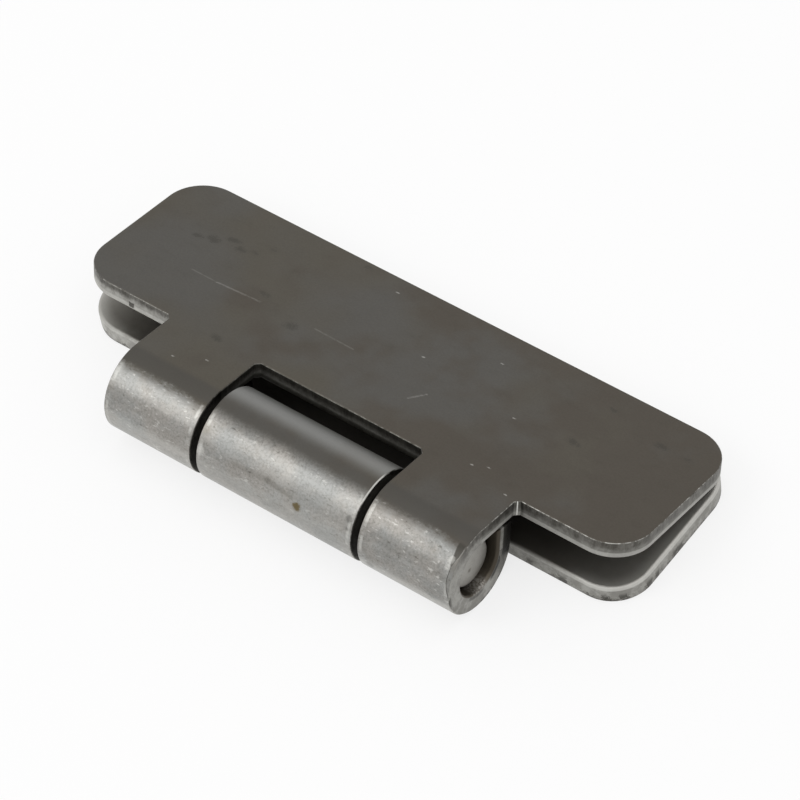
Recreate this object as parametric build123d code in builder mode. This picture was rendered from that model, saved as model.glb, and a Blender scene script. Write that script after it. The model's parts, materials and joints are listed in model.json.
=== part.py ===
from build123d import *
import os
from math import asin, atan2, cos, hypot, sin

# Loose pin butt hinge for welding on: two leaves of bare sheet steel, whose tongues are rolled into
# three knuckles around a plain pin. It lies closed, with the lower leaf flat on its outer face.
# +X runs along the pin, +Y from the knuckles to the back edges, +Z up. The origin is the middle of
# the lower leaf's outer face, half-way between the line under the pin and the back edge.

# Driving dimensions, in millimetres; a leaf's width is counted from the pin's axis
leaf_length = 100.0
leaf_width = 36.7
leaf_thickness = 3.0
corner_radius = 6.5
pin_diameter = 8.0
centre_knuckle_length = 28.2
outer_knuckle_length = 16.2

# Clearances
pin_clearance = 0.3
pin_recess = 1.5
knuckle_gap = 1.15
notch_clearance = 0.95
tail_gap = 0.25
closed_gap = 0.3

# Edges: blanking rolls the rim of a leaf's inner side over and leaves its outer side sharp
rollover_radius = 0.6
outer_edge_break = 0.15
root_break = 0.7
pin_edge_break = 0.4

# Sizes that follow from the ones above
bore_radius = pin_diameter / 2 + pin_clearance
barrel_radius = bore_radius + leaf_thickness
notch_length = centre_knuckle_length + 2 * knuckle_gap
barrel_length = notch_length + 2 * outer_knuckle_length
pin_length = barrel_length - 2 * pin_recess
notch_front = barrel_radius + notch_clearance
tail_height = bore_radius - tail_gap

# The leaves converge until the lower leaf's inner back edge all but meets the upper inner face
back_edge_distance = hypot(leaf_width, bore_radius)
back_edge_angle = atan2(bore_radius, leaf_width)
closed_angle = back_edge_angle + asin((bore_radius - closed_gap) / back_edge_distance)

# Positions and directions closer than this count as the same
same = 0.01

# Leaf frames at the middle of the pin: x along the pin, y to the back edge, z out of the outer face
pin_centre = (0, -leaf_width / 2, barrel_radius)
lower_frame = Plane(pin_centre, x_dir=(-1, 0, 0), z_dir=(0, 0, -1))
upper_frame = Plane(pin_centre, x_dir=(1, 0, 0), z_dir=(0, sin(closed_angle), cos(closed_angle)))

# Each leaf's tongues, as the start and the length of the knuckle along the pin
centre_tongues = [(-centre_knuckle_length / 2, centre_knuckle_length)]
outer_tongues = [
    (-barrel_length / 2, outer_knuckle_length),
    (notch_length / 2, outer_knuckle_length),
]


def leaf_blank(frame, tongues):
    """Flat outline on the outer face: a plate with round corners, and the tongues up to the rolls."""
    plate_width = leaf_width - notch_front
    with BuildSketch(frame.offset(barrel_radius)) as blank:
        with Locations((0, notch_front)):
            RectangleRounded(leaf_length, plate_width, corner_radius, align=(Align.CENTER, Align.MIN))
        for start, length in tongues:
            with Locations((start, 0)):
                Rectangle(length, notch_front + corner_radius, align=Align.MIN)
        spots = [Vector(side, notch_front) for start, length in tongues for side in (start, start + length)]
        roots = [blank.vertices().sort_by_distance(spot)[0] for spot in spots]
        chamfer(roots, root_break)
    return blank.sketch


def knuckle_section(frame, start):
    """Section of a roll: three quarters round the pin, then a straight tail up to the inner face."""
    section_plane = Plane(frame.from_local_coords((start, 0, 0)), x_dir=frame.y_dir, z_dir=frame.x_dir)
    with BuildSketch(section_plane) as section:
        with BuildLine():
            outside = CenterArc((0, 0), barrel_radius, 90, 270)
            inside = CenterArc((0, 0), bore_radius, 90, 270)
            Line(outside @ 0, inside @ 0)
            Polyline(outside @ 1, (barrel_radius, tail_height), (bore_radius, tail_height), inside @ 1)
        make_face()
    return section.sketch


def sheet_rim(leaf, side_height):
    """Edges all round one side of the sheet, which lies side_height off the pin's axis everywhere."""
    side = ShapeList()
    for face in leaf.faces():
        normal = face.normal_at()
        height = normal.dot(face.position_at(0.5, 0.5) - Vector(pin_centre))
        if abs(normal.X) < same and abs(height - side_height) < same:
            side.append(face)
    return leaf.edges().filter_by(lambda edge: sum(edge in face.edges() for face in side) == 1)


# Lower leaf: one tongue, rolled into the centre knuckle
with BuildPart() as centre_knuckle_leaf:
    extrude(leaf_blank(lower_frame, centre_tongues), amount=-leaf_thickness)
    for start, length in centre_tongues:
        extrude(knuckle_section(lower_frame, start), amount=length)
    fillet(sheet_rim(centre_knuckle_leaf, -bore_radius), rollover_radius)
    chamfer(sheet_rim(centre_knuckle_leaf, barrel_radius), outer_edge_break)
centre_knuckle_leaf.part.label = "centre_knuckle_leaf"

# Upper leaf: two tongues, rolled into the outer knuckles on either side of the centre one
with BuildPart() as outer_knuckle_leaf:
    extrude(leaf_blank(upper_frame, outer_tongues), amount=-leaf_thickness)
    for start, length in outer_tongues:
        extrude(knuckle_section(upper_frame, start), amount=length)
    fillet(sheet_rim(outer_knuckle_leaf, -bore_radius), rollover_radius)
    chamfer(sheet_rim(outer_knuckle_leaf, barrel_radius), outer_edge_break)
outer_knuckle_leaf.part.label = "outer_knuckle_leaf"

# Pin: a headless rod, a little shorter than the barrel, free to slide out of either end
with BuildPart() as loose_pin:
    with BuildSketch(Plane(pin_centre, x_dir=(0, 1, 0), z_dir=(1, 0, 0))):
        Circle(pin_diameter / 2)
    extrude(amount=pin_length / 2, both=True)
    chamfer(loose_pin.edges().filter_by(GeomType.CIRCLE), pin_edge_break)
loose_pin.part.label = "loose_pin"

os.makedirs("parts", exist_ok=True)
export_step(centre_knuckle_leaf.part, "parts/centre_knuckle_leaf.step")
export_step(outer_knuckle_leaf.part, "parts/outer_knuckle_leaf.step")
export_step(loose_pin.part, "parts/loose_pin.step")
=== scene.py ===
import json
import math

import bmesh
import bpy
from mathutils import Euler, Matrix, Vector


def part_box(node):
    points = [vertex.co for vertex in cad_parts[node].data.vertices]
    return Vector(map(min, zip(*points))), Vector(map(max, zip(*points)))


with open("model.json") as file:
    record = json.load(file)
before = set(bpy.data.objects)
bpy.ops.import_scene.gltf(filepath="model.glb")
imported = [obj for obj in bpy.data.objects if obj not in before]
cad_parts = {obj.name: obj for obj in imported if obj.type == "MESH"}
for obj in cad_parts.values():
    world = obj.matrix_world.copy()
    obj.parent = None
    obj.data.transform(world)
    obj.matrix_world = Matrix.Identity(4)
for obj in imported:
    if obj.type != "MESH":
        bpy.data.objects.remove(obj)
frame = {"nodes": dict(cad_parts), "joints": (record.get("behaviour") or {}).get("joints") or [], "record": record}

bl_info = {
    "name": "Loose Pin Butt Hinge Finish",
    "version": (1, 0, 0),
    "blender": (4, 5, 0),
    "location": "View3D > Sidebar > Hinge",
    "description": "Bare steel finishes, studio and camera for a weld-on hinge with a loose pin",
    "category": "Material",
}

MM = 0.001

# The hinge as the model gives it. A leaf's own frame lies at the middle of the pin: x along the pin,
# y from the pin to the back edge, z out of the leaf's outer face.
LEAF_JOINT = next(joint for joint in frame["joints"] if joint["name"] == "leaf_hinge")
PIN_CENTRE = Vector(LEAF_JOINT["pos_m"])
MOUNT_NORMALS = {mount["name"]: Vector(mount["axis"]) for mount in frame["record"]["mounts"]}
PIN_AXIS = Vector((1, 0, 0))

# Sizes of the sheet and the rolls, in millimetres
SHEET_THICKNESS = 3.0
BARREL_RADIUS = PIN_CENTRE.z / MM
BORE_RADIUS = BARREL_RADIUS - SHEET_THICKNESS
PIN_RADIUS = (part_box("loose_pin")[1].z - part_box("loose_pin")[0].z) / 2 / MM
PIN_HALF_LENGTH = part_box("loose_pin")[1].x / MM
PIN_RECESS = 1.5
BARREL_HALF_LENGTH = PIN_HALF_LENGTH + PIN_RECESS
PLATE_HALF_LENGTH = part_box("outer_knuckle_leaf")[1].x / MM
CENTRE_HALF_LENGTH = 14.1
NOTCH_HALF_LENGTH = 15.25
NOTCH_FRONT = 8.25
ROLLOVER = 0.6
CORNER_RADIUS = 6.5

# The floor lies a hair below the leaf, in metres
FLOOR_GAP = 0.00002

# How far round the outside of a roll one degree is, in millimetres
MM_PER_DEGREE = math.radians(BARREL_RADIUS)

# Depths in the sheet, in millimetres from the inner face: beyond the first lies the outer face, and
# below the second its broken rim
FACE_DEPTH = SHEET_THICKNESS - 0.04
RIM_DEPTH = SHEET_THICKNESS - 0.08

# Sockets of a Mix node that mixes colours
MIX_SHARE, MIX_FIRST, MIX_SECOND = 0, 6, 7
MIX_RESULT = 2

# The speck on the pin's right end, from the pin's middle in millimetres
PIN_SPECK = (0, -0.6, -0.9)

WHITE = (1.0, 1.0, 1.0, 1.0)
FLOOR_SQUARES = 8

# The camera's sensor in millimetres, and the nearest that it sees in metres
SENSOR_WIDTH = 36.0
CLIP_START = 0.01


def screen(red, green, blue):
    """The linear colour that a screen shows as these 8-bit levels."""
    levels = []
    for level in (red, green, blue):
        share = level / 255
        levels.append(share / 12.92 if share <= 0.04045 else ((share + 0.055) / 1.055) ** 2.4)
    return tuple(levels)


class Signal:
    """A number that varies over a surface: a socket, on which Python's operators add Math nodes."""

    def __init__(self, nodes, socket):
        self.nodes = nodes
        self.socket = socket

    def __add__(self, other):
        return self.nodes.math("ADD", self, other)

    def __radd__(self, other):
        return self.nodes.math("ADD", other, self)

    def __sub__(self, other):
        return self.nodes.math("SUBTRACT", self, other)

    def __rsub__(self, other):
        return self.nodes.math("SUBTRACT", other, self)

    def __neg__(self):
        return self.nodes.math("SUBTRACT", 0.0, self)

    def __mul__(self, other):
        return self.nodes.math("MULTIPLY", self, other)

    def __rmul__(self, other):
        return self.nodes.math("MULTIPLY", other, self)

    def __lt__(self, other):
        return self.nodes.math("LESS_THAN", self, other)

    def __gt__(self, other):
        return self.nodes.math("GREATER_THAN", self, other)

    def __abs__(self):
        return self.nodes.math("ABSOLUTE", self)

    def root(self):
        """The square root."""
        return self.nodes.math("SQRT", self)

    def low(self, other):
        """The smaller of the two."""
        return self.nodes.math("MINIMUM", self, other)

    def high(self, other):
        """The larger of the two."""
        return self.nodes.math("MAXIMUM", self, other)

    def rise(self, start, end):
        """0 below start and 1 above end, with a soft step between; it falls where end is below start."""
        settings = {"data_type": "FLOAT", "interpolation_type": "SMOOTHSTEP", "clamp": True}
        low, high, at_low, at_high = (start, end, 0.0, 1.0) if start < end else (end, start, 1.0, 0.0)
        sockets = {"Value": self, "From Min": low, "From Max": high, "To Min": at_low, "To Max": at_high}
        return Signal(self.nodes, self.nodes.node("ShaderNodeMapRange", settings, sockets).outputs[0])

    def band(self, start, end, soft):
        """1 between start and end, with soft flanks outside them."""
        return self.rise(start - soft, start) * self.rise(end + soft, end)


class Nodes:
    """A node tree that is laid out from nothing."""

    def __init__(self, tree):
        self.tree = tree
        tree.nodes.clear()

    def node(self, kind, settings=None, sockets=None):
        """Adds a node: its settings first, then the value or the link of each socket."""
        node = self.tree.nodes.new(kind)
        for name, value in (settings or {}).items():
            setattr(node, name, value)
        for key, value in (sockets or {}).items():
            if isinstance(value, Signal):
                value = value.socket
            if isinstance(value, bpy.types.NodeSocket):
                self.tree.links.new(value, node.inputs[key])
            else:
                node.inputs[key].default_value = value
        return node

    def math(self, operation, *values):
        """The number that a Math node gives."""
        node = self.node("ShaderNodeMath", {"operation": operation}, dict(enumerate(values)))
        return Signal(self, node.outputs[0])

    def vector(self, operation, *values):
        """The vector that a Vector Math node gives."""
        node = self.node("ShaderNodeVectorMath", {"operation": operation}, dict(enumerate(values)))
        return node.outputs["Vector"]

    def measure(self, operation, *values):
        """The number that a Vector Math node gives."""
        node = self.node("ShaderNodeVectorMath", {"operation": operation}, dict(enumerate(values)))
        return Signal(self, node.outputs["Value"])

    def background_rays(self):
        """1 for a ray that sees, mirrors or looks through to the background, 0 for light on surfaces."""
        path = self.node("ShaderNodeLightPath")
        kinds = ("Is Camera Ray", "Is Glossy Ray", "Is Transmission Ray")
        seen, mirrored, looked_through = (Signal(self, path.outputs[kind]) for kind in kinds)
        return seen.high(mirrored).high(looked_through)


class Finish(Nodes):
    """One procedural material."""

    def __init__(self, name):
        self.material = bpy.data.materials.new(name)
        self.material.use_nodes = True
        super().__init__(self.material.node_tree)
        self.place = self.node("ShaderNodeTexCoord").outputs["Object"]

    def stretched(self, place, factors):
        """The place with each of its coordinates multiplied by a factor."""
        return self.vector("MULTIPLY", place, factors)

    def noise(self, place, size, detail=3.0, roughness=0.55, offset=0.0):
        """Cloudy noise from 0 to 1 about 0.5, whose patches are about size across."""
        if offset:
            place = self.vector("ADD", place, (offset, offset / 2, offset / 3))
        sockets = {"Vector": place, "Scale": 1 / size, "Detail": detail, "Roughness": roughness}
        return Signal(self, self.node("ShaderNodeTexNoise", {}, sockets).outputs[0])

    def blend(self, share, first, second):
        """Mixes two colours; share 0 gives the first, 1 the second."""
        return self.mix({"data_type": "RGBA"}, share, first, second)

    def tint(self, share, colour, shade):
        """Multiplies the colour by the shade where share is 1."""
        return self.mix({"data_type": "RGBA", "blend_type": "MULTIPLY"}, share, colour, shade)

    def mix(self, settings, share, first, second):
        """The colour that a Mix node gives."""
        sockets = {MIX_SHARE: share, MIX_FIRST: self.colour(first), MIX_SECOND: self.colour(second)}
        return self.node("ShaderNodeMix", settings, sockets).outputs[MIX_RESULT]

    def colour(self, value):
        """A socket as it is, and a plain colour with its alpha."""
        if isinstance(value, bpy.types.NodeSocket):
            return value
        return (*tuple(value)[:3], 1.0)

    def nearest(self, place, spots):
        """Distance to the nearest of the spots."""
        distance = None
        for spot in spots:
            here = self.measure("DISTANCE", place, (*spot, 0))
            distance = here if distance is None else distance.low(here)
        return distance

    def off_line(self, place, start, end):
        """Distance to the line between two points, both on one plane with the place."""
        run = Vector(end) - Vector(start)
        away = self.vector("SUBTRACT", place, (*start, 0))
        share = self.measure("DOT_PRODUCT", away, (*(run / run.length_squared), 0))
        share = share.high(0.0).low(1.0)
        sockets = {"Vector": (*run, 0), "Scale": share}
        along = self.node("ShaderNodeVectorMath", {"operation": "SCALE"}, sockets)
        return self.measure("DISTANCE", away, along.outputs["Vector"])

    def shade(self, colour, roughness, metallic, height):
        """The principled shader of such a surface; height is in millimetres."""
        bump = self.node("ShaderNodeBump", {}, {"Strength": 1.0, "Distance": MM, "Height": height})
        surface = {"Base Color": colour, "Roughness": roughness, "Metallic": metallic}
        sockets = surface | {"Normal": bump.outputs[0]}
        return self.node("ShaderNodeBsdfPrincipled", {}, sockets).outputs[0]

    def show(self, surface):
        """Makes the shader the material's surface, and gives the material."""
        self.node("ShaderNodeOutputMaterial", {}, {"Surface": surface})
        return self.material


class HingeLeafSettings(bpy.types.PropertyGroup):
    """Colours and gloss of the rolled sheet."""
    # Mill skin: the flat's own skin, made darker in part as painted shade
    skin: bpy.props.FloatVectorProperty(
        name="Mill skin", description="Flat outer faces, warm patches", subtype="COLOR", size=3,
        min=0, max=1, default=screen(88, 84, 76))
    skin_cool: bpy.props.FloatVectorProperty(
        name="Cool skin", description="Cooler patches of the flat faces", subtype="COLOR", size=3,
        min=0, max=1, default=screen(89, 87, 83))
    skin_brown: bpy.props.FloatVectorProperty(
        name="Brown skin", description="Browner patches of the flat faces", subtype="COLOR", size=3,
        min=0, max=1, default=screen(84, 79, 72))
    # Rubbed steel: the rolls' worn steel, made lighter in part as a painted highlight
    rubbed_and_highlight: bpy.props.FloatVectorProperty(
        name="Rubbed steel", description="Outside of the rolled knuckles", subtype="COLOR", size=3,
        min=0, max=1, default=screen(159, 156, 151))
    rubbed_cool: bpy.props.FloatVectorProperty(
        name="Cool rubbed steel", description="Cooler patches of the rolled knuckles", subtype="COLOR",
        size=3, min=0, max=1, default=screen(153, 154, 152))
    bend_shadow: bpy.props.FloatVectorProperty(
        name="Bend", description="Dull band where a roll leaves the flat", subtype="COLOR", size=3,
        min=0, max=1, default=screen(78, 76, 72))
    burnish: bpy.props.FloatVectorProperty(
        name="Burnished edge", description="Half of a cut edge that the punch smeared", subtype="COLOR",
        size=3, min=0, max=1, default=screen(112, 110, 105))
    fracture: bpy.props.FloatVectorProperty(
        name="Broken edge", description="Half of a cut edge that broke away", subtype="COLOR", size=3,
        min=0, max=1, default=screen(137, 136, 131))
    # Bright steel of scratches, flecks and worn rims, used also for painted highlights
    wear_and_highlight: bpy.props.FloatVectorProperty(
        name="Worn line", description="Bright line along the rims", subtype="COLOR", size=3,
        min=0, max=1, default=screen(214, 213, 208))
    # Inner face at its ends: lighter as painted light where light reaches into the open wedge
    inner: bpy.props.FloatVectorProperty(
        name="Rubbed inner face", description="Ends of the faces that meet when it is closed",
        subtype="COLOR", size=3, min=0, max=1, default=screen(150, 148, 143))
    inner_skin: bpy.props.FloatVectorProperty(
        name="Inner skin", description="Rest of the faces that meet when it is closed", subtype="COLOR",
        size=3, min=0, max=1, default=screen(94, 90, 84))
    bore: bpy.props.FloatVectorProperty(
        name="Bore", description="Inside of the rolls", subtype="COLOR", size=3,
        min=0, max=1, default=screen(88, 82, 73))
    soot: bpy.props.FloatVectorProperty(
        name="Specks", description="Dark specks and smudges", subtype="COLOR", size=3,
        min=0, max=1, default=screen(66, 64, 59))
    rust: bpy.props.FloatVectorProperty(
        name="Rust speck", description="The olive speck on the middle knuckle", subtype="COLOR", size=3,
        min=0, max=1, default=screen(104, 92, 62))
    skin_roughness: bpy.props.FloatProperty(
        name="Skin roughness", description="Roughness of the flat faces", subtype="FACTOR",
        min=0, max=1, default=0.50)
    rubbed_roughness: bpy.props.FloatProperty(
        name="Rubbed roughness", description="Roughness of the rubbed knuckles", subtype="FACTOR",
        min=0, max=1, default=0.44)
    metallic: bpy.props.FloatProperty(
        name="Metallic", description="How far the skin lets the bare steel shine through",
        subtype="FACTOR", min=0, max=1, default=0.92)


class HingePinSettings(bpy.types.PropertyGroup):
    """Colours and gloss of the pin."""
    drawn: bpy.props.FloatVectorProperty(
        name="Drawn steel", description="Round side of the pin", subtype="COLOR", size=3,
        min=0, max=1, default=screen(172, 170, 164))
    face: bpy.props.FloatVectorProperty(
        name="End face", description="Cut ends of the pin", subtype="COLOR", size=3,
        min=0, max=1, default=screen(163, 161, 156))
    dirt: bpy.props.FloatVectorProperty(
        name="Dirt", description="Specks and oil on the pin", subtype="COLOR", size=3,
        min=0, max=1, default=screen(96, 92, 84))
    roughness: bpy.props.FloatProperty(
        name="Roughness", description="Roughness of the drawn side", subtype="FACTOR",
        min=0, max=1, default=0.32)
    metallic: bpy.props.FloatProperty(
        name="Metallic", description="How far the pin shines as bare steel", subtype="FACTOR",
        min=0, max=1, default=0.95)


class HingeStageSettings(bpy.types.PropertyGroup):
    """Floor, lamps and camera."""
    floor: bpy.props.FloatVectorProperty(
        name="Floor", description="Colour of the floor", subtype="COLOR", size=3,
        min=0, max=1, default=(0.97, 0.97, 0.97))
    floor_size: bpy.props.FloatProperty(
        name="Floor size", description="Side of the floor", subtype="DISTANCE", unit="LENGTH",
        min=1, default=8.0)
    floor_glow: bpy.props.FloatProperty(
        name="Floor glow", description="How far the floor fades to white where it is seen or mirrored",
        subtype="FACTOR", min=0, max=1, default=0.75)
    sky: bpy.props.FloatProperty(
        name="Sky level", description="Brightness of the even light from all round", min=0, default=0.74)
    key_power: bpy.props.FloatProperty(
        name="Key lamp", description="Power of the soft lamp at the front left", subtype="POWER",
        unit="POWER", min=0, default=1.5)
    key_size: bpy.props.FloatProperty(
        name="Key lamp size", description="Diameter of the key lamp", subtype="DISTANCE",
        unit="LENGTH", min=0, default=0.60)
    key_place: bpy.props.FloatVectorProperty(
        name="Key lamp place", description="Place of the key lamp, which faces the hinge",
        subtype="XYZ", unit="LENGTH", size=3, default=(-0.44, -0.505, 0.742))
    top_power: bpy.props.FloatProperty(
        name="Top lamp", description="Power of the wide lamp overhead", subtype="POWER",
        unit="POWER", min=0, default=2.6)
    top_size: bpy.props.FloatProperty(
        name="Top lamp size", description="Diameter of the top lamp", subtype="DISTANCE",
        unit="LENGTH", min=0, default=1.2)
    top_place: bpy.props.FloatVectorProperty(
        name="Top lamp place", description="Place of the top lamp, which faces the hinge",
        subtype="XYZ", unit="LENGTH", size=3, default=(0.2, 0.1, 1.3))
    lens: bpy.props.FloatProperty(
        name="Lens", description="Focal length on a 36 mm sensor", subtype="DISTANCE_CAMERA",
        min=1, default=181.86)
    camera_place: bpy.props.FloatVectorProperty(
        name="Camera place", description="Camera's place", subtype="XYZ", unit="LENGTH", size=3,
        default=(0.26204, -0.26299, 0.46322))
    camera_turn: bpy.props.FloatVectorProperty(
        name="Camera turn", description="Azimuth, height and roll of the camera", subtype="EULER",
        unit="ROTATION", size=3,
        default=(math.radians(44.5106), math.radians(51.0595), math.radians(-9.6869)))


class Sheet:
    """A leaf's surface in its own frame: how deep in the sheet and how far round the roll a point is."""

    def __init__(self, finish, outer_normal):
        centred = finish.vector("SUBTRACT", finish.place, tuple(PIN_CENTRE))
        back = PIN_AXIS.cross(outer_normal)
        back = back if back.y > 0 else -back
        self.x = finish.measure("DOT_PRODUCT", centred, tuple(PIN_AXIS / MM))
        self.y = finish.measure("DOT_PRODUCT", centred, tuple(back / MM))
        self.z = finish.measure("DOT_PRODUCT", centred, tuple(outer_normal / MM))
        self.from_middle = abs(self.x)
        together = {"X": self.x, "Y": self.y, "Z": self.z}
        self.place = finish.node("ShaderNodeCombineXYZ", {}, together).outputs[0]
        self.face = finish.stretched(self.place, (1, 1, 0))

        # Degrees from the outer face's normal round the roll, and the roll laid flat in millimetres
        radius = (self.y * self.y + self.z * self.z).root()
        degrees = finish.math("ARCTAN2", -self.y, self.z) * math.degrees(1)
        self.bend = finish.math("WRAP", degrees, 270.0, -90.0)
        laid_flat = {"X": self.x, "Y": self.bend * MM_PER_DEGREE}
        self.unrolled = finish.node("ShaderNodeCombineXYZ", {}, laid_flat).outputs[0]

        # Parts of the section, and the depth from the inner face to the outer one
        self.on_roll = (self.y < 0.0).high(self.z < 0.0)
        self.on_tail = (1 - self.on_roll) * (self.z < BORE_RADIUS - 0.1)
        self.on_plate = 1 - self.on_roll - self.on_tail
        self.curled = self.on_roll.high(self.on_tail)
        level = self.on_roll * radius + self.on_plate * self.z + self.on_tail * self.y
        self.depth = level - BORE_RADIUS
        self.on_face = self.depth.rise(RIM_DEPTH, FACE_DEPTH)
        self.is_inner = (self.depth - self.curled * 0.25).rise(ROLLOVER * 0.55, 0.04)
        self.is_edge = (1 - self.is_inner) * self.depth.rise(FACE_DEPTH, RIM_DEPTH)

    def off_rim(self):
        """Distance to the outline of a leaf with round corners, as far as the corners' radius."""
        past_x = (self.from_middle - (PLATE_HALF_LENGTH - CORNER_RADIUS)).high(0.0)
        past_y = (NOTCH_FRONT + CORNER_RADIUS - self.y).high(0.0)
        return CORNER_RADIUS - (past_x * past_x + past_y * past_y).root()


class LeafFinish(Finish):
    """Material of a leaf: mill skin, rubbed rolls, cut edges, bores and the marks of this leaf, with painted light
    and shade in several of them.
    """

    def __init__(self, name, settings, outer_normal, marks):
        super().__init__(name)
        self.settings = settings
        self.marks = marks
        self.sheet = Sheet(self, outer_normal)
        place = self.sheet.place
        long, longer, longest = (self.stretched(place, (share, 1, 1)) for share in (0.6, 0.45, 0.05))
        upright = self.stretched(place, (1, 1, 0.4))
        self.broad = self.noise(place, 22.0, detail=2.0, roughness=0.5)
        self.clouds = self.noise(place, 11.0, detail=3.0, roughness=0.55, offset=91.0)
        self.patches = self.noise(place, 6.0, detail=4.0, roughness=0.6, offset=31.0)
        self.blotches = self.noise(long, 2.2, detail=4.0, roughness=0.65, offset=57.0)
        self.grain = self.noise(place, 0.35, detail=3.0, roughness=0.6, offset=83.0)
        self.streaks = self.noise(longest, 0.7, detail=3.0, roughness=0.6, offset=11.0)
        self.scuffs = self.noise(longer, 0.55, detail=2.0, roughness=0.7, offset=97.0)
        self.ragged = self.noise(upright, 1.1, detail=4.0, roughness=0.7, offset=19.0)

    def make(self):
        """Puts the parts of the surface together, and gives the material."""
        s, settings = self.sheet, self.settings
        colour = self.blend(s.is_inner, self.outside(), self.inside())
        colour = self.rims(self.blend(s.is_edge, colour, self.edge()))
        roughness = settings.skin_roughness + (self.patches - 0.5) * 0.16 + (self.grain - 0.5) * 0.10
        roughness = roughness + self.rubbed_and_highlight * (settings.rubbed_roughness - settings.skin_roughness)
        roughness = roughness + s.is_edge * (0.10 - self.burnished * 0.14)
        height = (self.grain - 0.5) * 0.010 + (self.blotches - 0.5) * 0.012
        height = height - self.rubbed_and_highlight * ((self.scuffs - 0.5) * 0.018 + (self.grain - 0.5) * 0.008)
        height = height + s.is_edge * ((self.ragged - 0.5) * 0.10 + (self.grain - 0.5) * 0.03)
        colour, height = self.mark_face(colour, height)
        colour, roughness = self.mark_roll(colour, roughness)
        colour, height = self.mark_edge(colour, height)
        return self.show(self.shade(colour, roughness, settings.metallic, height))

    def outside(self):
        """Outer side of the sheet: mill skin on the flat, and rubbed steel round the rolls, lighter partly from
        wear and partly as a painted highlight.
        """
        s = self.sheet
        start, end, soft, speckle = self.marks["rubbed_and_highlight"]
        stipple = ((self.grain - 0.5) * 12 + (self.scuffs - 0.5) * 9) * speckle
        worn_and_lit = s.bend - s.x.rise(26.0, 30.5) * 4.0 + stipple + (self.patches - 0.5) * 10
        # The rubbed band: partly worn steel, partly a painted highlight round the rolls
        self.rubbed_and_highlight = worn_and_lit.band(start, end, soft) * s.on_roll
        outside = self.blend(self.rubbed_and_highlight, self.skin(), self.steel(speckle))
        # Painted reflection: a lighter, cooler band up the back of the middle roll
        for start, end, share in self.marks.get("sheen_bands", ()):
            band = s.bend.band(start, end, 22.0)
            outside = self.blend(band * share, outside, self.settings.rubbed_cool)
        return self.upset_end(outside)

    def skin(self):
        """Mill skin in warm, cool and brown patches, darker in part as painted shade, with a band of painted shade
        where a roll starts to bend.
        """
        s, settings = self.sheet, self.settings
        skin = self.blend(self.broad.rise(0.40, 0.62), settings.skin, settings.skin_cool)
        skin = self.blend((self.clouds + s.x * 0.0035).rise(0.40, 0.66), skin, settings.skin_brown)
        skin = self.tint(self.blotches.rise(0.50, 0.78) * 0.4, skin, (0.84, 0.84, 0.82))
        skin = self.tint(self.grain.rise(0.35, 0.7) * 0.3, skin, (0.84, 0.84, 0.84))
        # Painted shade: a darker band where the roll turns away from the flat
        start, end, share = self.marks["bend_shade"]
        return self.blend(s.bend.band(start, end, 10.0) * share, skin, settings.bend_shadow)

    def steel(self, speckle):
        """Rubbed steel with its streaks, grain, flecks and pits, in bands of painted highlight and painted shade.
        """
        s, settings = self.sheet, self.settings
        steel = self.blend(self.patches.rise(0.35, 0.65), settings.rubbed_and_highlight, settings.rubbed_cool)
        steel = self.tint(self.streaks.rise(0.3, 0.75) * 0.35, steel, (0.76, 0.75, 0.73))
        steel = self.tint(self.blotches.rise(0.42, 0.72) * 0.55, steel, (0.76, 0.75, 0.73))
        steel = self.tint(self.grain.rise(0.42, 0.66) * 0.8, steel, (0.74, 0.74, 0.73))
        flecks = self.scuffs.rise(0.58, 0.72) * self.blotches.rise(0.62, 0.45)
        steel = self.blend(flecks * (0.3 + speckle * 0.3), steel, settings.wear_and_highlight)
        pits = self.scuffs.rise(0.40, 0.30) * self.blotches.rise(0.45, 0.60)
        steel = self.tint(pits * 0.8, steel, (0.5, 0.49, 0.46))
        # Painted highlights: the lamp's highlight and the floor's reflection, in bands round the roll
        for left, right, start, end, share in self.marks["highlight_bands"]:
            band = s.bend.band(start, end, 12.0) * s.x.band(left, right, 4.0)
            steel = self.blend(band * share, steel, settings.wear_and_highlight)
        # Painted shade: darker streaks round the roll, standing in for a dark reflection
        for left, right, start, end, share in self.marks["shade_bands"]:
            band = (s.bend + (self.patches - 0.5) * 16).band(start, end, 7.0)
            band = band * s.x.band(left, right, 4.0)
            steel = self.tint(band * share, steel, (0.5, 0.49, 0.47))
        return steel

    def upset_end(self, colour):
        """The barrel's right end, which spreads over the roll's outside, with a dark patch along it."""
        s = self.sheet
        from_end = BARREL_HALF_LENGTH - s.x + (self.ragged - 0.5) * 0.3
        spread = (0.25 + s.bend.rise(36.0, 56.0) * 0.45) * s.bend.rise(98.0, 72.0)
        reach = spread + 0.16 + s.bend.rise(62.0, 30.0)
        patch = (from_end - reach).rise(0.10, -0.10) * (from_end - spread).rise(-0.06, 0.06)
        patch = patch * s.bend.band(29.0, 92.0, 5.0)
        colour = self.blend(patch * 0.9, colour, self.settings.soot)
        lip = (from_end - spread).rise(0.06, -0.06) * s.bend.band(38.0, 92.0, 5.0)
        self.upset = patch.high(lip)
        return self.blend(lip * (0.28 + 0.72 * s.bend.rise(68.0, 50.0)), colour, self.settings.burnish)

    def inside(self):
        """Inner faces, lighter at the ends and darker by the barrel as painted light and shade, and bores, bright
        under the pin.
        """
        s, settings = self.sheet, self.settings
        # Painted light and shade: lighter at the open ends, darker further into the closed wedge
        from_end = PLATE_HALF_LENGTH - s.from_middle + (self.patches - 0.5) * 4
        face = self.blend(from_end.rise(-3.0, 15.0), settings.inner, settings.inner_skin)
        face = self.tint(self.blotches.rise(0.45, 0.75) * 0.5, face, (0.80, 0.79, 0.77))
        face = self.tint(self.patches.rise(0.45, 0.7) * 0.5, face, (0.78, 0.77, 0.74))
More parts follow.
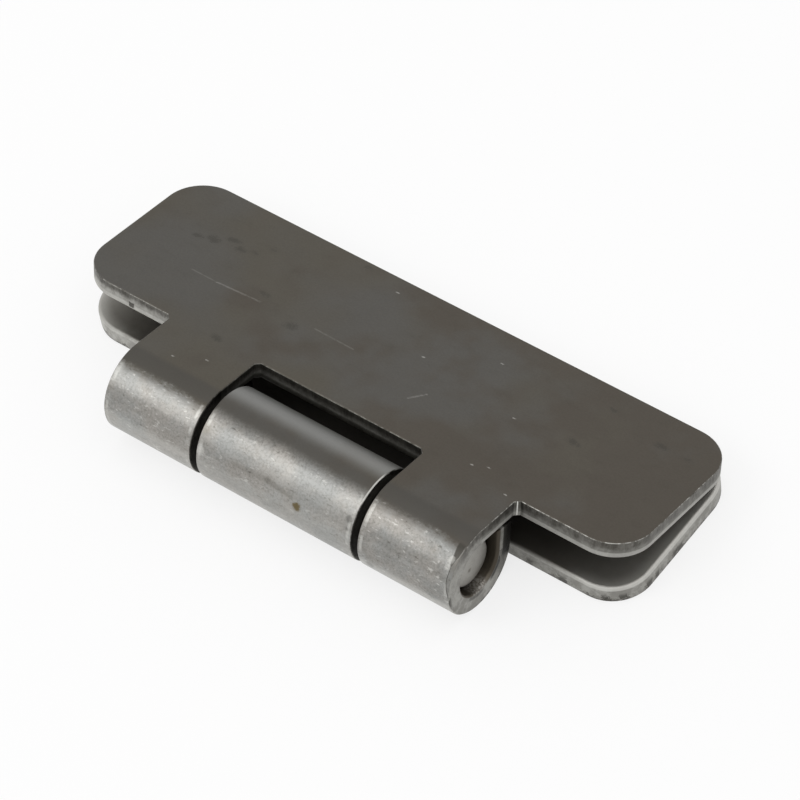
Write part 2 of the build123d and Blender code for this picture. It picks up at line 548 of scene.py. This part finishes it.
        # Painted shade: darker towards the barrel, deep in the closed wedge
        face = self.tint(s.y.rise(17.0, 8.0) * 0.8, face, (0.45, 0.44, 0.41))
        # Painted light: the inner face lighter near the outline, where light reaches in
        rim_light = s.off_rim().rise(2.6, 0.0) * from_end.rise(12.0, 5.0)
        face = self.blend(rim_light * 0.32, face, settings.wear_and_highlight)
        under_pin = s.bend.band(174.0, 198.0, 18.0) * (0.25 + 0.75 * self.grain.rise(0.40, 0.60))
        bore = self.blend(under_pin * 0.9, settings.bore, settings.rubbed_and_highlight)
        far_side = s.bend.rise(214.0, 232.0).high(s.on_tail)
        bore = self.tint(far_side * 0.6, bore, (0.4, 0.38, 0.35))
        return self.blend(s.curled, face, bore)

    def edge(self):
        """Cut edges: smeared and streaky by the outer face, broken and lighter by the inner one."""
        s, settings = self.sheet, self.settings
        start, soft, smeared_share = self.marks["smeared"]
        lit_left_end = (-s.x).rise(24.0, 36.0) * s.on_plate
        start = start + (self.ragged - 0.5) * 1.6 - s.bend.rise(225.0, 245.0) * 1.1 + lit_left_end * 0.35
        fades = s.bend.rise(72.0, 12.0) + s.bend.rise(225.0, 250.0)
        self.burnished = (s.depth - start).rise(-soft, soft) * (0.1 + 0.9 * fades)

        broken = self.tint(self.ragged.rise(0.52, 0.72) * 0.5, settings.fracture, (0.72, 0.71, 0.69))
        broken = self.tint(self.grain.rise(0.45, 0.7) * 0.5, broken, (0.80, 0.80, 0.79))
        # Painted light: the edges at the left end, nearer the lamp, are lighter
        broken = self.blend(lit_left_end * 0.4, broken, settings.wear_and_highlight)
        for start, end, share in self.marks.get("bright_edges", ()):
            bright = s.from_middle.rise(start, end) * s.on_plate
            broken = self.blend(bright * share, broken, settings.wear_and_highlight)
        broken = self.blend(s.curled * s.bend.rise(235.0, 205.0) * 0.22, broken, settings.wear_and_highlight)

        upright = self.stretched(s.place, (1, 1, 0.12))
        shears = self.noise(upright, 0.8, detail=3.0, roughness=0.7, offset=63.0)
        smeared = self.tint(shears.rise(0.42, 0.62) * 0.8, settings.burnish, (0.55, 0.54, 0.52))
        smeared = self.tint(self.grain.rise(0.45, 0.65) * 0.5, smeared, (0.75, 0.75, 0.74))

        edge = self.blend(self.burnished * smeared_share, broken, smeared)
        clouds = self.noise(s.place, 2.6, detail=4.0, roughness=0.7, offset=77.0)
        edge = self.tint(clouds.rise(0.40, 0.60) * 0.9, edge, (0.68, 0.67, 0.66))
        return self.notch_shade(self.roll_end(self.edge_dirt(edge)))

    def edge_dirt(self, edge):
        """Smudges next to the outer face, and dark flecks at their places along the outline."""
        s, soot = self.sheet, self.settings.soot
        amount, level = self.marks["smudges"]
        smudge = self.noise(s.place, 1.3, detail=4.0, roughness=0.75, offset=71.0)
        smudge = smudge + (s.depth - 2.5) * 0.13
        edge = self.blend(smudge.rise(level, level + 0.07) * amount, edge, soot)
        for x, y in self.marks.get("flecks", ()):
            away = self.measure("DISTANCE", s.face, (x, y, 0))
            away = away + (self.grain - 0.5) * 2.2 + (self.ragged - 0.5) * 2.4
            edge = self.blend(away.rise(0.8, 0.4) * s.depth.rise(1.0, 2.0) * 0.8, edge, soot)
        return edge

    def roll_end(self, edge):
        """End of a roll: dark by the tail, with painted shade round the bore, and burred at its outer rim."""
        s = self.sheet
        by_tail = s.bend.rise(250.0, 260.0).high(s.on_tail) * s.depth.rise(0.95, 1.2)
        edge = self.tint(by_tail * 0.95, edge, (0.11, 0.11, 0.10))
        # Painted shade round the bore, standing in for a rounded inner rim turned from the light
        bore_shade = s.bend.band(160.0, 186.0, 12.0) * 0.6 + s.bend.rise(210.0, 222.0).high(s.on_tail) * 0.9
        reach = 1.0 - s.bend.rise(248.0, 264.0).high(s.on_tail) * 0.65
        bore_shade = bore_shade * (s.depth - reach).rise(0.15, -0.15) * s.curled
        edge = self.tint(bore_shade, edge, (0.14, 0.135, 0.125))
        burr = s.bend.band(98.0, 112.0, 6.0) + s.bend.band(180.0, 236.0, 8.0)
        burr = burr * s.depth.rise(SHEET_THICKNESS - 0.7, SHEET_THICKNESS - 0.2)
        burr = burr * self.ragged.rise(0.38, 0.52)
        return self.blend(burr * s.on_roll * 0.9, edge, self.settings.soot)

    def notch_shade(self, edge):
        """Painted shade on the walls that face the barrel, lighter in a streak half-way up, and on the roll ends
        across the gaps.
        """
        s = self.sheet
        self.notched = s.from_middle.rise(NOTCH_HALF_LENGTH + 1.4, NOTCH_HALF_LENGTH + 0.4)
        self.notched = self.notched * s.y.rise(NOTCH_FRONT + 4.0, NOTCH_FRONT + 1.0)
        painted_shade = self.notched * (0.55 + 0.45 * s.on_plate)
        lighter_streak = (s.depth + (self.ragged - 0.5) * 0.5).band(1.3, 1.9, 0.35)
        # Painted shade in the notch, less of it in a streak half-way up
        edge = self.tint(painted_shade * (0.9 - lighter_streak * 0.8), edge, (0.56, 0.56, 0.53))
        edge = self.tint(painted_shade * s.depth.rise(1.3, 0.7) * 0.9, edge, (0.4, 0.4, 0.38))
        # Painted shade on the roll ends that face each other across the gaps
        return self.tint(self.notched * (1 - s.on_plate) * 0.9, edge, (0.22, 0.21, 0.19))

    def rims(self, colour):
        """Bright lines where the rims are worn, partly painted highlight, broken up along their length."""
        s, settings = self.sheet, self.settings
        chance = self.noise(s.place, 1.1, detail=4.0, roughness=0.75, offset=45.0)
        # The bright rim line: partly wear, partly a painted highlight on the rolled-over rim
        worn_and_lit = s.depth.band(SHEET_THICKNESS - 0.13, SHEET_THICKNESS - 0.07, 0.03)
        worn_and_lit = worn_and_lit * chance.rise(0.42, 0.66) * (1 - self.notched * 0.6) * (1 - self.upset)
        worn_and_lit = worn_and_lit * (0.5 + 0.5 * s.x.rise(-10.0, 10.0))
        colour = self.blend(worn_and_lit * 0.6, colour, settings.wear_and_highlight)
        for x, start, end in self.marks.get("bright_rims", ()):
            rim = s.depth.rise(SHEET_THICKNESS - 0.16, SHEET_THICKNESS - 0.10)
            rim = rim * abs(s.x - x).rise(0.30, 0.10) * s.bend.band(start, end, 10.0)
            colour = self.blend(rim * 0.85, colour, settings.wear_and_highlight)
        # Painted highlight along the rolled inner rim, stronger towards the right end
        low, high, share, right_share = self.marks["inner_rim_highlight"]
        share = share + s.x.rise(34.0, 44.0) * right_share
        inner = s.depth.band(low, high, 0.2) * (1 - s.curled) * (1 - self.notched)
        colour = self.blend(inner * share, colour, settings.wear_and_highlight)
        ends = None
        for end in self.marks["roll_ends"]:
            here = abs(s.x - end)
            ends = here if ends is None else ends.low(here)
        lines = ends.band(0.5, 0.75, 0.2) * self.blotches.rise(0.44, 0.60)
        band = ends.rise(1.6, 0.3) * self.patches.rise(0.50, 0.60)
        lines = lines.high(band * 0.8) * self.rubbed_and_highlight * s.on_face * (1 - self.upset)
        return self.blend(lines * 0.4, colour, settings.wear_and_highlight)

    def near_marks(self, marks, along, across):
        """Distance to the nearest of the marks, with the face stretched along and across the pin."""
        place = self.stretched(self.sheet.face, (along, across, 0))
        return self.nearest(place, [(x * along, y * across) for x, y in marks])

    def mark_face(self, colour, height):
        """Specks, bright ticks and scratches on the outer face."""
        s, settings, marks = self.sheet, self.settings, self.marks
        on_flat = s.on_face * s.on_plate
        if "specks" in marks:
            away = self.near_marks(marks["specks"], 0.75, 1.2)
            away = away + (self.grain - 0.5) * 2.8 + (self.blotches - 0.5) * 3.4
            speck = away.rise(1.0, 0.0) * on_flat
            colour = self.blend(speck * 0.55, colour, settings.soot)
            height = height - speck * 0.02
        if "ticks" in marks:
            away = self.near_marks(marks["ticks"], 0.6, 1.4) + (self.grain - 0.5) * 0.45
            tick = away.rise(0.26, 0.06) * s.on_face
            colour = self.blend(tick * 0.32, colour, settings.wear_and_highlight)
            height = height + tick * 0.01
        for start, end, width, share in marks.get("scratches", ()):
            away = self.off_line(s.face, start, end) + (self.grain - 0.5) * 0.1
            scratch = away.rise(width, width * 0.3) * on_flat * self.scuffs.rise(0.30, 0.55)
            colour = self.blend(scratch * share, colour, settings.wear_and_highlight)
            height = height - scratch * 0.01
        return colour, height

    def mark_roll(self, colour, roughness):
        """Spots and stains on the outside of the rolls, at their places on the unrolled sheet."""
        s, settings = self.sheet, self.settings
        on_outside = s.on_face * s.on_roll
        for x, bend, size, share, shade in self.marks["spots"]:
            away = self.nearest(s.unrolled, [(x, bend * MM_PER_DEGREE)])
            away = away + (self.grain - 0.5) * size + (self.blotches - 0.5) * size
            spot = away.rise(size, size * 0.4) * on_outside * share
            colour = self.blend(spot, colour, getattr(settings, shade))
            roughness = roughness + spot * 0.1
        for start, end, width, share in self.marks.get("stains", ()):
            line = [(x, bend * MM_PER_DEGREE) for x, bend in (start, end)]
            away = self.off_line(s.unrolled, *line) + (self.blotches - 0.5) * 1.4
            stain = away.rise(width, width * 0.3) * on_outside
            colour = self.tint(stain * share, colour, (0.6, 0.59, 0.56))
        return colour, roughness

    def mark_edge(self, colour, height):
        """Square nicks in the front edge, and painted glints at sharp corners of the outline, with painted shade
        round each.
        """
        s, settings = self.sheet, self.settings
        for x, depth in self.marks.get("nicks", ()):
            away = abs(s.x - x).high(abs(s.depth - depth)) + (self.grain - 0.5) * 0.3
            nick = away.rise(0.55, 0.35) * s.is_edge * (s.y < NOTCH_FRONT + 0.5)
            colour = self.blend(nick * 0.85, colour, settings.soot)
            height = height - nick * 0.2
        for x, y in self.marks.get("glints", ()):
            away = self.measure("DISTANCE", s.face, (x, y, 0))
            # Painted shade on the chamfer round the glint, then the painted glint itself
            colour = self.tint(away.rise(1.1, 0.7) * s.is_edge * 0.7, colour, (0.45, 0.45, 0.43))
            colour = self.blend(away.rise(0.11, 0.05) * s.is_edge * 0.9, colour, settings.wear_and_highlight)
        return colour, height


# Marks of the two leaves, in millimetres of the leaf's own frame and degrees round the roll.
# rubbed: first and last degree, softness, speckle. dull, sheen_bands: first and last degree, share.
# highlight_bands, shade_bands: left and right end, first and last degree, share.
# smeared: depth where it starts, softness, share. bright_edges: from and to x, share.
# inner_rim_highlight: lowest and highest depth, share, more share at the right end. smudges: share, level.
# specks, ticks, flecks, glints: x and y. scratches: both ends, width, share. nicks: x and depth.
# spots: x, degree, size, share, colour. stains: both ends, width, share. roll_ends: x.
# bright_rims: x, first and last degree.
# In these tables the bright and dull bands round the rolls, the dull band at the bend, the light band at the back
# of the middle roll and the bright inner rims are painted highlight, shade and reflection; the rubbed band is
# partly painted highlight.
OUTER_LEAF_MARKS = {
    "rubbed_and_highlight": (39.0, 255.0, 16.0, 1.0),
    "bend_shade": (6.0, 20.0, 0.75),
    "highlight_bands": (
        (-35.0, 0.0, 40.0, 50.0, 0.12), (-35.0, 0.0, 96.0, 140.0, 0.25),
        (0.0, 35.0, 114.0, 140.0, 0.35),
    ),
    "shade_bands": (
        (-35.0, 35.0, 60.0, 70.0, 0.22), (0.0, 35.0, 28.0, 46.0, 0.08),
        (0.0, 35.0, 84.0, 98.0, 0.12),
    ),
    "roll_ends": (-BARREL_HALF_LENGTH, -NOTCH_HALF_LENGTH, NOTCH_HALF_LENGTH, BARREL_HALF_LENGTH),
    "smeared": (1.65, 0.45, 1.0),
    "inner_rim_highlight": (0.0, 1.0, 0.35, 0.0),
    "smudges": (0.5, 0.63),
    "specks": (
        (-40.6, 25.2), (-38.0, 26.1), (-35.7, 27.7), (-33.2, 26.6), (-31.2, 27.4), (-29.5, 29.7),
        (-15.9, 35.4), (-16.7, 17.6), (-24.3, 20.9), (31.4, 32.4), (30.6, 23.1), (41.1, 30.3),
        (45.3, 30.1), (-23.2, 8.5),
    ),
    "ticks": (
        (-8.9, 33.6), (2.8, 24.3), (12.7, 30.4), (21.0, 21.8), (24.5, 11.0), (22.3, 10.0),
        (29.6, 7.9), (-25.5, 1.4), (-21.1, 3.8),
    ),
    "scratches": (
        ((-36.0, 18.5), (-31.2, 18.5), 0.20, 0.06), ((-31.2, 18.5), (-23.4, 19.0), 0.24, 0.11),
        ((-13.3, 19.3), (-6.2, 19.2), 0.20, 0.07), ((6.6, 15.7), (8.2, 18.0), 0.26, 0.12),
    ),
    "spots": (
        (30.3, 47.0, 0.7, 0.3, "wear_and_highlight"), (30.2, 57.0, 0.6, 0.3, "wear_and_highlight"),
        (17.3, 112.0, 0.8, 0.3, "soot"),
    ),
    "nicks": ((-39.15, 0.95),),
    "glints": ((BARREL_HALF_LENGTH + 0.35, NOTCH_FRONT - 0.35),),
}
CENTRE_LEAF_MARKS = {
    "rubbed_and_highlight": (24.0, 152.0, 22.0, 0.3),
    "bend_shade": (168.0, 178.0, 0.5),
    "highlight_bands": (
        (-15.0, 15.0, 60.0, 100.0, 0.2), (-15.0, 0.0, 130.0, 146.0, 0.1),
        (2.0, 15.0, 112.0, 150.0, 0.12),
    ),
    "shade_bands": ((-15.0, 15.0, 120.0, 126.0, 0.2), (-15.0, 15.0, 92.0, 100.0, 0.12)),
    "sheen_bands": ((205.0, 240.0, 0.55),),
    "roll_ends": (-CENTRE_HALF_LENGTH, CENTRE_HALF_LENGTH),
    "smeared": (2.3, 0.35, 0.3),
    "inner_rim_highlight": (0.15, 0.4, 0.25, 0.27),
    "bright_edges": ((30.0, 44.0, 0.28),),
    "flecks": (
        (46.2, 8.9), (48.3, 10.4), (50.0, 14.3), (50.0, 16.2), (50.0, 20.5), (50.0, 21.8),
        (39.0, NOTCH_FRONT), (33.5, NOTCH_FRONT),
    ),
    "bright_rims": ((CENTRE_HALF_LENGTH, 158.0, 192.0),),
    "smudges": (0.65, 0.525),
    "stains": (((-7.5, 121.5), (-1.2, 124.7), 0.6, 0.3), ((-1.2, 124.7), (3.2, 118.5), 0.6, 0.5)),
    "spots": (
        (4.3, 111.0, 1.0, 0.95, "rust"), (-13.6, 144.0, 1.1, 0.22, "rust"),
        (-13.5, 117.0, 1.2, 0.4, "wear_and_highlight"), (-14.2, 171.0, 0.8, 0.5, "soot"),
        (13.2, 130.0, 0.8, 0.5, "soot"), (13.3, 118.0, 0.5, 0.4, "soot"),
    ),
}


def clothe(node, material):
    """Gives a solid of the model its material."""
    slots = frame["nodes"][node].data.materials
    slots.clear()
    slots.append(material)


class HINGE_OT_finish_leaves(bpy.types.Operator):
    """Give both leaves their bare rolled sheet steel"""
    bl_idname = "hinge.finish_leaves"
    bl_label = "Finish Leaves"

    def execute(self, context):
        settings = context.scene.hinge_leaves
        leaves = (
            ("outer_knuckle_leaf", "upper_leaf_steel", "upper_weld_face", OUTER_LEAF_MARKS),
            ("centre_knuckle_leaf", "lower_leaf_steel", "lower_weld_face", CENTRE_LEAF_MARKS),
        )
        for node, name, mount, marks in leaves:
            clothe(node, LeafFinish(name, settings, MOUNT_NORMALS[mount], marks).make())
        return {"FINISHED"}


class HINGE_OT_finish_pin(bpy.types.Operator):
    """Give the pin its drawn steel, with darker rims and a speck on its right end"""
    bl_idname = "hinge.finish_pin"
    bl_label = "Finish Pin"

    def execute(self, context):
        settings = context.scene.hinge_pin
        f = Finish("pin_steel")
        centred = f.vector("SUBTRACT", f.place, tuple(PIN_CENTRE))
        place = f.stretched(centred, (1 / MM, 1 / MM, 1 / MM))
        x, y, z = (f.measure("DOT_PRODUCT", place, axis) for axis in ((1, 0, 0), (0, 1, 0), (0, 0, 1)))
        radius = (y * y + z * z).root()
        from_middle = abs(x)
        grain = f.noise(place, 0.3, detail=3.0, roughness=0.6)
        lines = f.noise(f.stretched(place, (0.03, 1, 1)), 0.25, detail=3.0, roughness=0.6, offset=7.0)
        stains = f.noise(place, 1.6, detail=4.0, roughness=0.65, offset=23.0)
        on_face = from_middle > PIN_HALF_LENGTH - 0.05
        by_face = from_middle.rise(PIN_HALF_LENGTH - 0.5, PIN_HALF_LENGTH)
        rim = radius.rise(PIN_RADIUS - 0.75, PIN_RADIUS - 0.35) * by_face

        side = f.tint(lines.rise(0.3, 0.7) * 0.5, settings.drawn, (0.78, 0.78, 0.77))
        end = f.tint(stains.rise(0.45, 0.7) * 0.45, settings.face, (0.80, 0.79, 0.77))
        end = f.tint(grain.rise(0.4, 0.7) * 0.4, end, (0.84, 0.84, 0.83))
        colour = f.blend(on_face, side, end)
        colour = f.blend(rim * 0.35, colour, settings.dirt)
        away = f.measure("DISTANCE", f.stretched(place, (0, 1, 1)), PIN_SPECK) + (grain - 0.5) * 0.5
        speck = away.rise(0.5, 0.15) * (x > 0) * on_face
        colour = f.blend(speck * 0.7, colour, settings.dirt)

        roughness = settings.roughness + on_face * 0.14 + (grain - 0.5) * 0.12
        height = (lines - 0.5) * 0.012 * (1 - on_face) + (grain - 0.5) * 0.016
        clothe("loose_pin", f.show(f.shade(colour, roughness, settings.metallic, height)))
        return {"FINISHED"}


class HINGE_OT_set_stage(bpy.types.Operator):
    """Lay the floor, set the lamps and place the camera"""
    bl_idname = "hinge.set_stage"
    bl_label = "Set Stage"

    def execute(self, context):
        settings = context.scene.hinge_stage
        self.lay_floor(context, settings)
        self.light(context, settings)
        self.place_camera(context, settings)
        context.scene.view_settings.view_transform = "Standard"
        return {"FINISHED"}

    def lay_floor(self, context, settings):
        """The floor, which fades to white where it is seen and keeps the hinge's shadow."""
        mesh = bpy.data.meshes.new("floor")
        form = bmesh.new()
        side = settings.floor_size
        bmesh.ops.create_grid(form, x_segments=FLOOR_SQUARES, y_segments=FLOOR_SQUARES, size=side / 2)
        form.to_mesh(mesh)
        form.free()
        floor = bpy.data.objects.new("floor", mesh)
        floor.location.z = -FLOOR_GAP
        context.scene.collection.objects.link(floor)

        f = Finish("floor_paper")
        fibre = f.noise(f.place, 0.004, detail=2.0, roughness=0.5)
        colour = f.tint(fibre * 0.02, settings.floor, (0.9, 0.9, 0.9))
        paper = f.shade(colour, 0.9, 0.0, fibre * 0.01)
        glow = f.node("ShaderNodeEmission", {}, {"Color": WHITE}).outputs[0]
        share = f.background_rays() * settings.floor_glow
        mixed = f.node("ShaderNodeMixShader", {}, {0: share, 1: paper, 2: glow})
        mesh.materials.append(f.show(mixed.outputs[0]))

    def light(self, context, settings):
        """A studio that is white where it is seen or mirrored and dimmer as a light, and two lamps."""
        world = bpy.data.worlds.new("studio")
        context.scene.world = world
        world.use_nodes = True
        studio = Nodes(world.node_tree)
        strength = settings.sky + studio.background_rays() * (1 - settings.sky)
        backdrop = studio.node("ShaderNodeBackground", {}, {"Color": WHITE, "Strength": strength})
        studio.node("ShaderNodeOutputWorld", {}, {"Surface": backdrop.outputs[0]})

        lamps = (
            ("key_lamp", settings.key_power, settings.key_size, Vector(settings.key_place)),
            ("top_lamp", settings.top_power, settings.top_size, Vector(settings.top_place)),
        )
        for name, power, size, place in lamps:
            lamp = bpy.data.lights.new(name, "AREA")
            lamp.shape = "DISK"
            lamp.size = size
            lamp.energy = power
            holder = bpy.data.objects.new(name, lamp)
            holder.location = place
            holder.rotation_euler = place.to_track_quat("Z", "Y").to_euler()
            context.scene.collection.objects.link(holder)

    def place_camera(self, context, settings):
        """The camera, rolled as the photograph is turned."""
        azimuth, height, roll = settings.camera_turn
        lens = bpy.data.cameras.new("camera")
        lens.lens = settings.lens
        lens.sensor_width = SENSOR_WIDTH
        lens.clip_start = CLIP_START
        camera = bpy.data.objects.new("camera", lens)
        turn = Euler((math.pi / 2 - height, 0, azimuth)).to_matrix() @ Matrix.Rotation(roll, 3, "Z")
        camera.matrix_world = Matrix.Translation(settings.camera_place) @ turn.to_4x4()
        context.scene.collection.objects.link(camera)
        context.scene.camera = camera


class HINGE_PT_workshop(bpy.types.Panel):
    """Finishes and stage of the hinge"""
    bl_idname = "HINGE_PT_workshop"
    bl_label = "Loose Pin Hinge"
    bl_space_type = "VIEW_3D"
    bl_region_type = "UI"
    bl_category = "Hinge"

    def draw(self, context):
        groups = (
            (HINGE_OT_finish_leaves, context.scene.hinge_leaves),
            (HINGE_OT_finish_pin, context.scene.hinge_pin),
            (HINGE_OT_set_stage, context.scene.hinge_stage),
        )
        for operator, settings in groups:
            box = self.layout.box()
            for name in type(settings).__annotations__:
                box.prop(settings, name)
            box.operator(operator.bl_idname)


CLASSES = (
    HingeLeafSettings,
    HingePinSettings,
    HingeStageSettings,
    HINGE_OT_finish_leaves,
    HINGE_OT_finish_pin,
    HINGE_OT_set_stage,
    HINGE_PT_workshop,
)
GROUPS = {
    "hinge_leaves": HingeLeafSettings,
    "hinge_pin": HingePinSettings,
    "hinge_stage": HingeStageSettings,
}


def register():
    for cls in CLASSES:
        bpy.utils.register_class(cls)
    for name, group in GROUPS.items():
        setattr(bpy.types.Scene, name, bpy.props.PointerProperty(type=group))


def unregister():
    for name in GROUPS:
        delattr(bpy.types.Scene, name)
    for cls in reversed(CLASSES):
        bpy.utils.unregister_class(cls)


def main():
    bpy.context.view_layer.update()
    register()
    bpy.ops.hinge.set_stage()
    bpy.ops.hinge.finish_leaves()
    bpy.ops.hinge.finish_pin()


if __name__ == "__main__":
    main()
